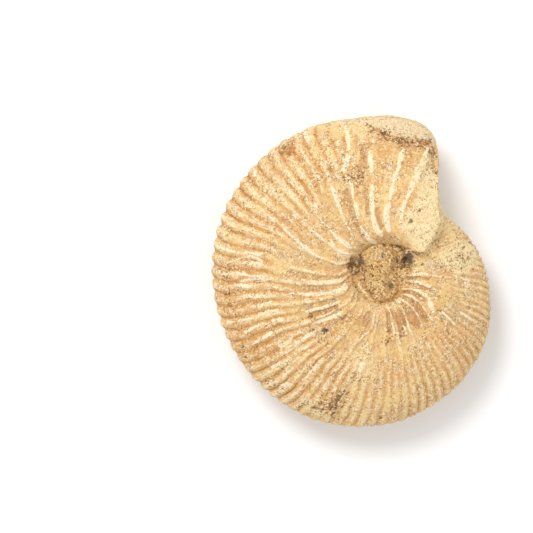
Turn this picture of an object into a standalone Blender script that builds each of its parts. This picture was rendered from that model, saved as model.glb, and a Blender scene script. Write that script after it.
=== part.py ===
"""A ribbed ammonite fossil, one piece of stone about 58 mm across, lying on its flank.

The coil lies flat: its axis is vertical, and its middle plane is level. Angles are in
degrees, counter-clockwise seen from above. The last whorl ends in the broken aperture and
runs back from there as the angle grows, so its radius falls with the angle. A point on the
whorl is placed by its rib number and by its share of the way from the umbilical seam (0)
out to the venter (1), which is the outer rim.
"""

import math

import bmesh
import bpy

MM = 0.001

# The flat spot of matrix that the fossil rests on is centred on the origin, and the coil
# axis stands a little way along X from there. The spot's outline is a circle with broad
# lumps, each a share of the radius, its count of waves round the spot and its turn.
FLAT_RADIUS = 7.5 * MM
FLAT_FOOT_RADIUS = 9.2 * MM
FLAT_LUMPS = ((0.06, 2, 40), (0.045, 3, 100), (0.03, 5, 10), (0.012, 13, 0))
COIL_AXIS_X = 2.5 * MM
MID_PLANE_HEIGHT = 9.75 * MM

# Venter radius at the rib crests, as stations of (degrees, millimetres).
VENTER = (
    (20, 22.6),
    (50, 23.9),
    (66, 25.0),
    (76, 28.4),
    (86, 29.1),
    (102, 29.2),
    (118, 30.3),
    (138, 31.1),
    (162, 31.8),
    (190, 31.6),
    (220, 30.9),
    (243, 30.1),
    (270, 28.15),
    (296, 25.75),
    (325, 22.95),
    (350, 20.2),
    (375, 17.95),
    (404, 15.55),
    (430, 14.2),
)

# Radius of the umbilical seam, where the wall of the umbilicus meets the plug.
SEAM = (
    (20, 5.5),
    (90, 5.5),
    (135, 5.75),
    (180, 6.1),
    (225, 5.85),
    (270, 5.4),
    (300, 5.2),
    (330, 4.8),
    (360, 4.65),
    (430, 5.0),
)

# Half the thickness of the whorl at the rib crests.
HALF_THICKNESS = (
    (20, 9.0),
    (70, 9.2),
    (110, 9.3),
    (150, 9.1),
    (250, 8.2),
    (340, 7.3),
    (430, 6.7),
)

# Plan line of the broken aperture, as stations of (share, degrees) on the last whorl, and
# of the same line where it crosses the whorl before it.
APERTURE = (
    (0.00, 50),
    (0.06, 40),
    (0.10, 31),
    (0.16, 29.5),
    (0.20, 33),
    (0.36, 38),
    (0.47, 43),
    (0.53, 49.5),
    (0.64, 55.4),
    (0.76, 60),
    (0.93, 64.4),
    (1.00, 66.3),
)
COVERED_WHORL = (
    (0.00, 405),
    (0.09, 398),
    (0.18, 389),
    (0.33, 387),
    (0.41, 390.5),
    (0.70, 395.5),
    (0.89, 400.5),
    (1.00, 402),
)

# Section of the whorl: how squarely the flank turns over into the venter, and how far
# from the seam the wall of the umbilicus reaches.
FLANK_POWER = 2.8
VENTER_POWER = 0.6
WALL_SHARE = 0.035

# Umbilicus: a low plug of matrix, set off the coil axis, with one deep hole in it.
PLUG_RISE = 5.3 * MM
PLUG_DOME = 0.35 * MM
PLUG_CENTRE = (-0.2 * MM, -1.7 * MM)
HOLE_CENTRE = (4.3 * MM, 2.5 * MM)
HOLE_RADIUS = 1.5 * MM
HOLE_DEPTH = 1.1 * MM

# Secondary ribs, counted from the one at 104.5 degrees on the outer flank: their spacing
# in degrees tightens a little with each rib. Each has a column of points on either side of
# its broad crest and one in the narrow furrow that follows it.
RIB_ZERO = 104.5
RIB_SPACING = 4.85
RIB_TIGHTENING = 0.0088
FIRST_RIB = -7
LAST_RIB = 70
CREST_HALF = 0.28
FURROW = 0.5

# Primary ribs on the inner flank, each running out into one secondary rib.
PRIMARY_ZERO = 10.9
PRIMARY_SPACING = 2.58
PRIMARY_WIDENING = 0.02
PRIMARY_FIRST = -7
PRIMARY_LAST = 20
PRIMARY_CREST = 0.3
PRIMARY_WIDTH = 0.85
SECONDARY_CREST = 0.2

# Depth of the furrows between the ribs, and the shares over which the primary ribs fade
# out and the secondary ribs come in.
PRIMARY_DEPTH = 0.5 * MM
SECONDARY_DEPTH = 0.4 * MM
PRIMARY_FADE = (0.36, 0.56)
SECONDARY_FADE = (0.38, 0.58)
SEAM_FADE = 0.05

# A rib leans back from the outer flank to the seam by this many degrees, hooks forward
# beside the seam, and sweeps forward over the edge of the venter.
LEAN = ((20, 2), (70, 3), (88, 7), (104, 10.5), (120, 11.5), (215, 11.5), (290, 3), (430, 2.5))
LEAN_SHARE = 0.8
LEAN_POWER = 1.2
LEAN_GAIN = 1.2
HOOK_SHARE = 0.12
HOOK_DEGREES = 14.0
SWEEP_SHARE = 0.8
SWEEP_DEGREES = 2.3

# The columns of points turn from the aperture line to the rib lines over these ribs.
APERTURE_RIBS = 7.0
COVERED_RIBS = 12.0

# Worn places without ribs: the end of the body chamber and its venter.
SMOOTH_LOBE_ENDS = (55, 72)
SMOOTH_LOBE_SHARE = 0.62
WORN_VENTER_ENDS = (108, 118)
WORN_VENTER_SHARE = 0.86
WORN_VENTER_DEPTH = 0.7 * MM

# A thin patch of matrix that stands proud of the earlier whorl.
PATCH_CENTRE = (13.3 * MM, 2.0 * MM)
PATCH_RADIUS = 3.6 * MM
PATCH_RISE = 0.55 * MM

# Rings of points: shares of the whorl above, of the plug, and from the foot of the flat
# spot out to the venter below.
PLUG_RINGS = (0.6,)
UPPER_RINGS = (0, 0.04, 0.1, 0.19, 0.31, 0.44, 0.57, 0.69, 0.8, 0.89, 0.96, 1)
LOWER_RINGS = (0.95, 0.86, 0.73, 0.57, 0.39, 0.19, 0)
FIT_ROUNDS = 12

STONE_COLOUR = (0.66, 0.45, 0.23, 1)
STONE_ROUGHNESS = 0.8
SHARP_DEGREES = 18


def clear_scene():
    for thing in list(bpy.data.objects):
        bpy.data.objects.remove(thing, do_unlink=True)


def ease(value):
    """Rises smoothly from 0 to 1 as the value does."""
    value = min(max(value, 0), 1)
    return value * value * (3 - 2 * value)


def between(ends, value):
    return ease((value - ends[0]) / (ends[1] - ends[0]))


def read_stations(stations, place):
    """Value of the smooth curve through the stations, level past its ends."""
    last = len(stations) - 1
    if place <= stations[0][0]:
        return stations[0][1]
    if place >= stations[last][0]:
        return stations[last][1]
    left = max(i for i in range(last) if stations[i][0] <= place)
    gap = stations[left + 1][0] - stations[left][0]
    slopes = [station_slope(stations, i) * gap for i in (left, left + 1)]
    t = (place - stations[left][0]) / gap
    rise = stations[left + 1][1] - stations[left][1]
    bend = t * (1 - t) * ((1 - t) * (slopes[0] - rise) - t * (slopes[1] - rise))
    return stations[left][1] + rise * t + bend


def station_slope(stations, i):
    before = max(i - 1, 0)
    after = min(i + 1, len(stations) - 1)
    run = stations[after][0] - stations[before][0]
    return (stations[after][1] - stations[before][1]) / run


def venter_radius(angle):
    return read_stations(VENTER, angle) * MM


def seam_radius(angle):
    return read_stations(SEAM, angle) * MM


def half_thickness(angle):
    return read_stations(HALF_THICKNESS, angle) * MM


def foot_radius(angle):
    """Distance from the coil axis to the foot of the flat spot, a circle off that axis."""
    turn = math.radians(angle)
    across = COIL_AXIS_X * math.sin(turn)
    circle = math.sqrt(FLAT_FOOT_RADIUS**2 - across**2) - COIL_AXIS_X * math.cos(turn)
    lumps = sum(s * math.sin(n * turn + math.radians(t)) for s, n, t in FLAT_LUMPS)
    return circle * (1 + lumps)


def rib_angle(rib):
    return RIB_ZERO + RIB_SPACING * rib - RIB_TIGHTENING * rib * rib


def rib_line(rib, share):
    """Angle at which a rib crosses the circle at this share of the whorl's width."""
    outer = rib_angle(rib)
    return outer + rib_shift(outer, share)


def rib_shift(outer, share):
    """How far a rib has turned, at this share, from its angle on the outer flank."""
    lean = read_stations(LEAN, outer) * LEAN_GAIN
    lean *= max(0, 1 - share / LEAN_SHARE) ** LEAN_POWER
    hook = HOOK_DEGREES * max(0, 1 - share / HOOK_SHARE) ** 2
    sweep = SWEEP_DEGREES * max(0, (share - SWEEP_SHARE) / (1 - SWEEP_SHARE)) ** 2
    return lean - hook - sweep


def rib_at(angle, share):
    """Number of the rib, with its fraction, that crosses this place."""
    outer = angle
    for _ in range(FIT_ROUNDS):
        outer = (outer + angle - rib_shift(outer, share)) / 2
    half = RIB_SPACING / 2
    root = math.sqrt(half * half - RIB_TIGHTENING * (outer - RIB_ZERO))
    return (half - root) / RIB_TIGHTENING


def column_angle(rib, share):
    """The rib line, turned at both ends of the whorl to run along the aperture."""
    line = rib_line(rib, share)
    first = read_stations(APERTURE, share) + rib_angle(rib) - rib_angle(FIRST_RIB - FURROW)
    last = read_stations(COVERED_WHORL, share) + rib_angle(rib) - rib_angle(LAST_RIB + FURROW)
    to_first = 1 - ease((rib - FIRST_RIB + FURROW) / APERTURE_RIBS)
    to_last = 1 - ease((LAST_RIB + FURROW - rib) / COVERED_RIBS)
    return line + to_first * (first - line) + to_last * (last - line)


def primary_ribs():
    """Numbers of the secondary ribs that the primary ribs run into."""
    steps = range(PRIMARY_FIRST, PRIMARY_LAST + 1)
    return [round(PRIMARY_ZERO + (PRIMARY_SPACING + PRIMARY_WIDENING * k) * k) for k in steps]


def furrow_depth(share, angle, primaries):
    """How far the surface lies below the rib crests."""
    rib = rib_at(angle, share)
    from_primary = min(abs(rib - primary) for primary in primaries)
    primary = between((PRIMARY_CREST, PRIMARY_WIDTH), from_primary)
    primary *= 1 - between(PRIMARY_FADE, share)
    secondary = between((SECONDARY_CREST, FURROW), abs(rib - round(rib)))
    secondary *= between(SECONDARY_FADE, share)
    depth = primary * PRIMARY_DEPTH + secondary * SECONDARY_DEPTH
    kept = 1
    if share < SMOOTH_LOBE_SHARE:
        kept = between(SMOOTH_LOBE_ENDS, angle)
    if share > WORN_VENTER_SHARE:
        kept = between(WORN_VENTER_ENDS, angle)
    whorl_size = venter_radius(angle) / venter_radius(VENTER[0][0])
    return depth * kept * min(1, share / SEAM_FADE) * min(1, whorl_size)


def flank_height(share, angle):
    """Height of the rib crests above the middle plane."""
    thickness = half_thickness(angle)
    wall = (thickness - PLUG_RISE) * math.exp(-share / WALL_SHARE)
    return thickness * (1 - share**FLANK_POWER) ** VENTER_POWER - wall


def worn_away(share, angle):
    """The facet that wear has cut on the upper edge of the venter by the aperture."""
    near_venter = ease((share - WORN_VENTER_SHARE) / (1 - WORN_VENTER_SHARE) * 2)
    fades = 1 - between(WORN_VENTER_ENDS, angle)
    return WORN_VENTER_DEPTH * fades * near_venter * (1 - share) / (1 - WORN_VENTER_SHARE)


def dome(centre, radius, x, y):
    """A smooth mound, 1 at its centre and 0 at its edge."""
    return ease(1 - math.hypot(x - centre[0], y - centre[1]) / radius)


def to_plan(radius, angle):
    turn = math.radians(angle)
    return radius * math.cos(turn), radius * math.sin(turn)


def surface_point(share, side, angle, primaries):
    """Point on the ribbed whorl, above (side 1) or below (side -1) the middle plane."""
    radius = seam_radius(angle) + share * (venter_radius(angle) - seam_radius(angle))
    furrow = furrow_depth(share, angle, primaries)
    outwards = share**6
    length = math.hypot(outwards, 1 - outwards)
    radius -= furrow * outwards / length
    height = flank_height(share, angle) - furrow * (1 - outwards) / length
    x, y = to_plan(radius, angle)
    if side > 0:
        height -= worn_away(share, angle)
        height += PATCH_RISE * dome(PATCH_CENTRE, PATCH_RADIUS, x, y)
        height -= HOLE_DEPTH * dome(HOLE_CENTRE, HOLE_RADIUS, x, y)
    return x, y, side * height


def plug_point(rib, share_of_plug):
    """Point on the plug of matrix, on the way from its centre to the seam."""
    angle = column_angle(rib, 0)
    seam_x, seam_y = to_plan(seam_radius(angle), angle)
    x = PLUG_CENTRE[0] + share_of_plug * (seam_x - PLUG_CENTRE[0])
    y = PLUG_CENTRE[1] + share_of_plug * (seam_y - PLUG_CENTRE[1])
    height = PLUG_RISE + PLUG_DOME * (1 - share_of_plug**2)
    return x, y, height - HOLE_DEPTH * dome(HOLE_CENTRE, HOLE_RADIUS, x, y)


def lower_place(rib, share_of_way):
    """Share and angle of a point between the foot of the flat spot and the venter."""
    angle = column_angle(rib, 0.5)
    for _ in range(FIT_ROUNDS):
        foot = foot_radius(angle)
        radius = foot + share_of_way * (venter_radius(angle) - foot)
        width = venter_radius(angle) - seam_radius(angle)
        share = (radius - seam_radius(angle)) / width
        angle = (angle + column_angle(rib, share)) / 2
    return share, angle


def flat_point(rib):
    """Point on the edge of the flat spot, in line with the column's foot."""
    share, angle = lower_place(rib, 0)
    x, y = to_plan(foot_radius(angle), angle)
    inwards = FLAT_RADIUS / FLAT_FOOT_RADIUS
    return (x + COIL_AXIS_X) * inwards - COIL_AXIS_X, y * inwards, -MID_PLANE_HEIGHT


def column_points(rib, primaries):
    """One column of points, from the plug over the upper flank and the venter to the flat
    spot below."""
    points = [plug_point(rib, share) for share in PLUG_RINGS]
    for share in UPPER_RINGS:
        points.append(surface_point(share, 1, column_angle(rib, share), primaries))
    for share_of_way in LOWER_RINGS:
        share, angle = lower_place(rib, share_of_way)
        points.append(surface_point(share, -1, angle, primaries))
    points.append(flat_point(rib))
    return points


def build_shell(mesh):
    """Rows of faces between the columns, closed at the aperture and at both centres, about
    the coil axis and the middle plane."""
    primaries = primary_ribs()
    ribs = [FIRST_RIB - FURROW]
    for rib in range(FIRST_RIB, LAST_RIB + 1):
        ribs += [rib - CREST_HALF, rib + CREST_HALF, rib + FURROW]
    columns = []
    for rib in ribs:
        columns.append([mesh.verts.new(place) for place in column_points(rib, primaries)])
    top = mesh.verts.new((*PLUG_CENTRE, PLUG_RISE + PLUG_DOME))
    bottom = mesh.verts.new((-COIL_AXIS_X, 0, -MID_PLANE_HEIGHT))
    for i, column in enumerate(columns):
        following = columns[(i + 1) % len(columns)]
        mesh.faces.new((top, column[0], following[0]))
        mesh.faces.new((bottom, following[-1], column[-1]))
        for j in range(len(column) - 1):
            mesh.faces.new((column[j], column[j + 1], following[j + 1], following[j]))


def stone_material():
    material = bpy.data.materials.new("limestone")
    material.use_nodes = True
    shader = material.node_tree.nodes["Principled BSDF"]
    shader.inputs["Base Color"].default_value = STONE_COLOUR
    shader.inputs["Roughness"].default_value = STONE_ROUGHNESS
    shader.inputs["Metallic"].default_value = 0
    return material


def build_ammonite():
    mesh = bmesh.new()
    build_shell(mesh)
    bmesh.ops.translate(mesh, vec=(COIL_AXIS_X, 0, MID_PLANE_HEIGHT), verts=mesh.verts)
    bmesh.ops.recalc_face_normals(mesh, faces=mesh.faces)
    data = bpy.data.meshes.new("ammonite")
    mesh.to_mesh(data)
    mesh.free()
    data.shade_smooth()
    data.set_sharp_from_angle(angle=math.radians(SHARP_DEGREES))
    data.materials.append(stone_material())
    fossil = bpy.data.objects.new("ammonite", data)
    bpy.context.scene.collection.objects.link(fossil)


clear_scene()
build_ammonite()
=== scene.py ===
"""A ribbed ammonite fossil in pale ochre limestone, lying on its flank on a white table.

The coil's axis is vertical. Angles are in degrees about it, counter-clockwise seen from
above. The last whorl ends in the broken aperture and runs back from there as the angle
grows, so its radius falls with the angle. A place on the whorl is given by its rib number
and by its share of the way from the umbilical seam (0) out to the venter (1), which is the
outer rim. Lengths are in millimetres from the coil axis and the middle plane of the coil,
until the finished shape is laid in the frame in metres.
"""

import math

import bpy
import numpy as np
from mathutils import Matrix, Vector, noise


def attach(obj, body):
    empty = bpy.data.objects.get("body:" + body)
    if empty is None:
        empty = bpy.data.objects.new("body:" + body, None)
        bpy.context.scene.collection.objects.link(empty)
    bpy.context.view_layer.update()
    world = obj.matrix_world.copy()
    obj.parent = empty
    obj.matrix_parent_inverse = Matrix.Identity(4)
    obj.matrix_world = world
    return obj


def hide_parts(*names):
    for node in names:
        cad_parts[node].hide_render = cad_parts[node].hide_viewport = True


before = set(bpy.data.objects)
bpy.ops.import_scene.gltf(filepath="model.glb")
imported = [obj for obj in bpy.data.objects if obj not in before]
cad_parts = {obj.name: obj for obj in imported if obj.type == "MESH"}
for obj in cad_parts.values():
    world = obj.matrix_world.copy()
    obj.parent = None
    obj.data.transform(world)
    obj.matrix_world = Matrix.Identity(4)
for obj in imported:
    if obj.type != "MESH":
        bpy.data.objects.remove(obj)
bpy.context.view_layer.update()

MM = 0.001

# Where the coil's axis and middle plane stand in the frame.
COIL_AXIS_X = 2.5
MID_PLANE_HEIGHT = 9.75

# The flat spot of matrix below. Its outline is a circle with broad lumps, each a share of
# the radius, its count of waves round the spot and its turn.
FLAT_RADIUS = 7.5
FLAT_FOOT_RADIUS = 9.2
FLAT_LUMPS = ((0.06, 2, 40), (0.045, 3, 100), (0.03, 5, 10), (0.012, 13, 0))
FLAT_EDGE_LIFT = 2.5

# Venter radius at the rib crests, as stations of (degrees, millimetres).
VENTER = (
    (20, 22.6), (50, 23.9), (66, 25), (69.5, 27), (76, 28.6), (86, 29.1), (102, 29.2),
    (118, 30.3), (138, 31.1), (162, 31.8), (190, 31.6), (220, 30.9), (243, 30.1), (270, 28.15),
    (296, 25.75), (325, 22.95), (350, 20.2), (375, 17.95), (404, 15.55), (430, 14.2),
)

# Radius of the umbilical seam, where the wall of the umbilicus meets the plug.
SEAM = (
    (20, 5.5), (90, 5.5), (135, 5.75), (180, 6.1), (225, 5.85), (270, 5.4), (300, 5.2),
    (330, 4.8), (360, 4.65), (430, 5),
)

# Half the thickness of the whorl at the rib crests.
HALF_THICKNESS = ((20, 9), (70, 9.2), (110, 9.3), (150, 9.1), (250, 8.2), (340, 7.3), (430, 6.7))

# Plan line of the broken aperture, as stations of (share, degrees) on the last whorl, and
# of the same line where it crosses the whorl before it.
APERTURE = (
    (0, 50), (0.06, 40), (0.1, 31), (0.16, 29.5), (0.2, 33), (0.36, 38), (0.47, 43), (0.53, 49.5),
    (0.64, 55.4), (0.76, 60), (0.93, 64.4), (1, 66.3),
)
COVERED_WHORL = (
    (0, 405), (0.09, 398), (0.18, 389), (0.33, 387), (0.41, 390.5), (0.7, 395.5), (0.89, 400.5),
    (1, 402),
)

# Section of the whorl: how squarely the flank turns over into the venter, and how far
# from the seam the wall of the umbilicus reaches.
FLANK_POWER = 2.8
VENTER_POWER = 0.6
WALL_SHARE = 0.035

# Umbilicus: a low plug of matrix, set off the coil axis, with one deep hole in it.
PLUG_RISE = 5.3
PLUG_DOME = 0.35
PLUG_CENTRE = (-0.2, -1.7)
HOLE_CENTRE = (4.3, 2.5)
HOLE_RADIUS = 1.7
HOLE_DEPTH = 1.5
DISC_CENTRE = (-0.5, -2.2)
DISC_RADIUS = 2.9
DISC_RIM = 0.35
DISC_RISE = 0.8
KNOB_CENTRE = (-1.0, 2.4)
KNOB_RADIUS = 2.9
KNOB_RIM = 0.9
KNOB_RISE = 1.2

# The bank of matrix at the foot of the umbilicus wall: how far it reaches from the seam,
# and over which degrees it rises and falls.
BANK_RISE = 0.9
BANK_REACH = (-1.5, 0.2)
BANK_START = (60, 90)
BANK_END = (200, 240)

# Secondary ribs, counted from the one at 104.5 degrees on the outer flank: their spacing
# in degrees tightens a little with each rib.
RIB_ZERO = 104.5
RIB_SPACING = 4.85
RIB_TIGHTENING = 0.0088
FIRST_RIB = -7
LAST_RIB = 70

# Primary ribs on the inner flank, each running out into one secondary rib.
PRIMARY_ZERO = 10.9
PRIMARY_SPACING = 2.58
PRIMARY_WIDENING = 0.02
PRIMARY_FIRST = -7
PRIMARY_LAST = 20

# A rib leans back from the outer flank to the seam by this many degrees, hooks forward
# beside the seam, and sweeps forward over the edge of the venter.
LEAN = ((20, 2), (70, 3), (88, 7), (104, 10.5), (120, 11.5), (215, 11.5), (290, 3), (430, 2.5))
LEAN_SHARE = 0.8
LEAN_POWER = 1.2
LEAN_GAIN = 1.2
HOOK_SHARE = 0.12
HOOK_DEGREES = 14.0
SWEEP_SHARE = 0.8
SWEEP_DEGREES = 2.3

# How far the ribs on the outer flank stray from that even spacing, in ribs, as stations
# of (degrees, stray at each of three shares); none on the inner flank.
STRAY_SHARES = (0.45, 0.6, 0.75, 0.885)
STRAY = (
    (95, 0, 0, 0), (110, -0.35, -0.05, 0.08), (120, -0.28, 0.06, 0.15), (130, -0.13, 0.16, 0.2),
    (140, -0.05, 0.21, 0.23), (150, -0.03, 0.28, 0.33), (160, -0.18, 0.24, 0.33),
    (170, -0.25, 0.25, 0.36), (180, -0.14, 0.24, 0.35), (190, -0.09, 0.24, 0.39),
    (200, -0.09, 0.23, 0.37), (210, -0.15, 0.28, 0.35), (220, -0.05, 0.38, 0.33),
    (230, -0.2, 0.26, 0.28), (240, -0.15, 0.2, 0.1), (250, -0.14, 0.08, 0),
    (260, -0.05, 0.04, -0.03), (270, -0.1, 0.06, -0.02), (290, -0.06, 0, -0.07),
    (300, -0.2, 0.08, -0.04), (310, -0.3, -0.06, -0.08), (320, -0.34, -0.14, -0.15),
    (330, -0.36, -0.19, -0.18), (340, -0.4, -0.29, -0.2), (350, -0.35, -0.25, -0.24),
    (365, -0.1, 0, -0.1), (400, 0, 0, 0),
)

# The columns of points turn from the aperture line to the rib lines over these ribs.
APERTURE_RIBS = 7.0
COVERED_RIBS = 12.0

# Worn places without ribs: the end of the body chamber and its venter. The ends are in
# degrees.
SMOOTH_LOBE_ENDS = (55, 72)
SMOOTH_LOBE_SHARE = 0.62
WORN_VENTER_ENDS = (108, 118)
WORN_VENTER_SHARE = 0.86
WORN_VENTER_DEPTH = 0.7

# A thin patch of matrix that stands proud of the earlier whorl.
PATCH_CENTRE = (13.3, 2.0)
PATCH_RADIUS = 3.6
PATCH_RISE = 0.55

# Points: columns along the rib lines and across the broken face of the aperture, and rows
# over the plug, the upper flank, the lower flank and the flat spot.
COLUMNS_PER_RIB = 8
RIB_COLUMNS = (LAST_RIB - FIRST_RIB + 1) * COLUMNS_PER_RIB + 1
FACE_COLUMNS = 31
FACE_BOW = 1.1
FACE_BOW_SHARES = (0.3, 0.7)
PLUG_ROWS = 24
UPPER_ROWS = 82
LOWER_ROWS = 40
FLAT_RINGS = (1.06, 1.0, 0.96, 0.5)
SECTION_STEPS = 4000
FIT_ROUNDS = 12

# Ribs: depth of the flat floor between primary ribs, and of the furrow between secondary
# ribs. A primary rib's crest and foot are this far, in ribs, from its middle. A secondary
# rib rises in two parts: the share of its height, and where its crest and foot are.
PRIMARY_DEPTH = 0.6
PRIMARY_CREST = 0.1
PRIMARY_FOOT = 0.62
SECONDARY_DEPTH = 0.46
SECONDARY_SECTION = ((0.75, 0.08, 0.5), (0.25, 0.36, 0.5))
PRIMARY_WOBBLE = 0.12
RIB_STRENGTH = (
    (66, 0.55), (104, 0.6), (125, 0.9), (150, 1), (235, 1), (255, 0.7), (275, 0.62), (300, 0.7),
    (335, 0.72), (360, 0.8), (430, 0.7),
)

# The body chamber, where the primary ribs run nearly out to the venter: over which
# degrees it ends, and how much further its ribs reach.
CHAMBER_ENDS = (95, 122)
CHAMBER_REACH = 0.3

# The share at which primary ribs turn into secondary ones, and over how much of the width
# the first fade and the others rise. Primary ribs are weaker at both ends of the whorl, and
# all ribs start just outside the seam.
CHANGE_SHARE = 0.36
PRIMARY_FADE = 0.2
SECONDARY_RISE = 0.22
EARLY_ENDS = (286, 306)
EARLY_LOSS = 0.9
LATE_ENDS = (112, 124)
LATE_LOSS = 0.6
RIB_START_SHARE = 0.05
RIM_SHARES = (0.72, 0.92)

# The worn venter by the aperture: its inner edge, as stations of (degrees, radius), where
# it ends, and how ragged its edge is. The dark, pitted band reaches in from that edge, and
# widens over these degrees.
WORN_EDGE = (
    (60, 25.9), (69, 26.1), (76, 25.4), (83, 25.3), (89, 25.8), (95, 27.3), (103, 28),
    (112, 29.4), (124, 30.8),
)
WORN_ENDS = (104, 124)
WORN_FADE = (-0.1, 0.3)
WORN_RAGGED = 0.3
PITTED_REACHES = (1.4, 2.4)
PITTED_WIDENS = (70, 84)
PITTED_ENDS = (92, 104)
PITTED_FADE = 0.4

# Lumps in the relief: their size in millimetres, octaves and seed.
LUMPS = {
    "broad": (7.0, 2, 1),
    "medium": (2.2, 3, 2),
    "fine": (0.7, 3, 3),
    "wobble": (1.3, 2, 4),
    "plug": (1.6, 2, 5),
    "plug_grit": (0.5, 2, 6),
    "pitted": (0.9, 3, 7),
    "ragged_x": (1.0, 3, 8),
    "ragged_y": (1.0, 3, 9),
    "face": (3.6, 3, 10),
    "face_grit": (0.9, 3, 11),
}
FINER_STRENGTH = 0.6
FINER_STEP = 2.0
SEED_SHIFT = (7.3, 3.1, 5.7)

# How deep those lumps go, in millimetres, on the whole stone, the plug and the broken face.
STONE_RELIEF = {"medium": 0.1, "fine": 0.06}
PLUG_RELIEF = {"plug": 0.2, "plug_grit": 0.12}
FACE_RELIEF = {"face": 0.45, "face_grit": 0.14}

# Uneven strengths: their mean, and how far they stray with which lumps.
UNEVEN = {
    "ribs": (0.85, 0.4, "broad"),
    "pitted": (0.25, 0.3, "pitted"),
    "face_matrix": (0.6, 0.7, "broad"),
    "seams": (0.8, 0.5, "fine"),
    "ridges": (0.75, 0.5, "medium"),
}

# How far above the middle plane a mark on the upper flank is full, how ragged the patches
# are, where the umbilicus ends past its seam, and how high above the table the broken face
# turns rough.
UPPER_FADE = 2.0
RAGGED_EDGE = 0.45
UMBILICUS_EDGE = (-0.3, 0.5)
OFF_TABLE = (0.3, 1.5)

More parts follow.
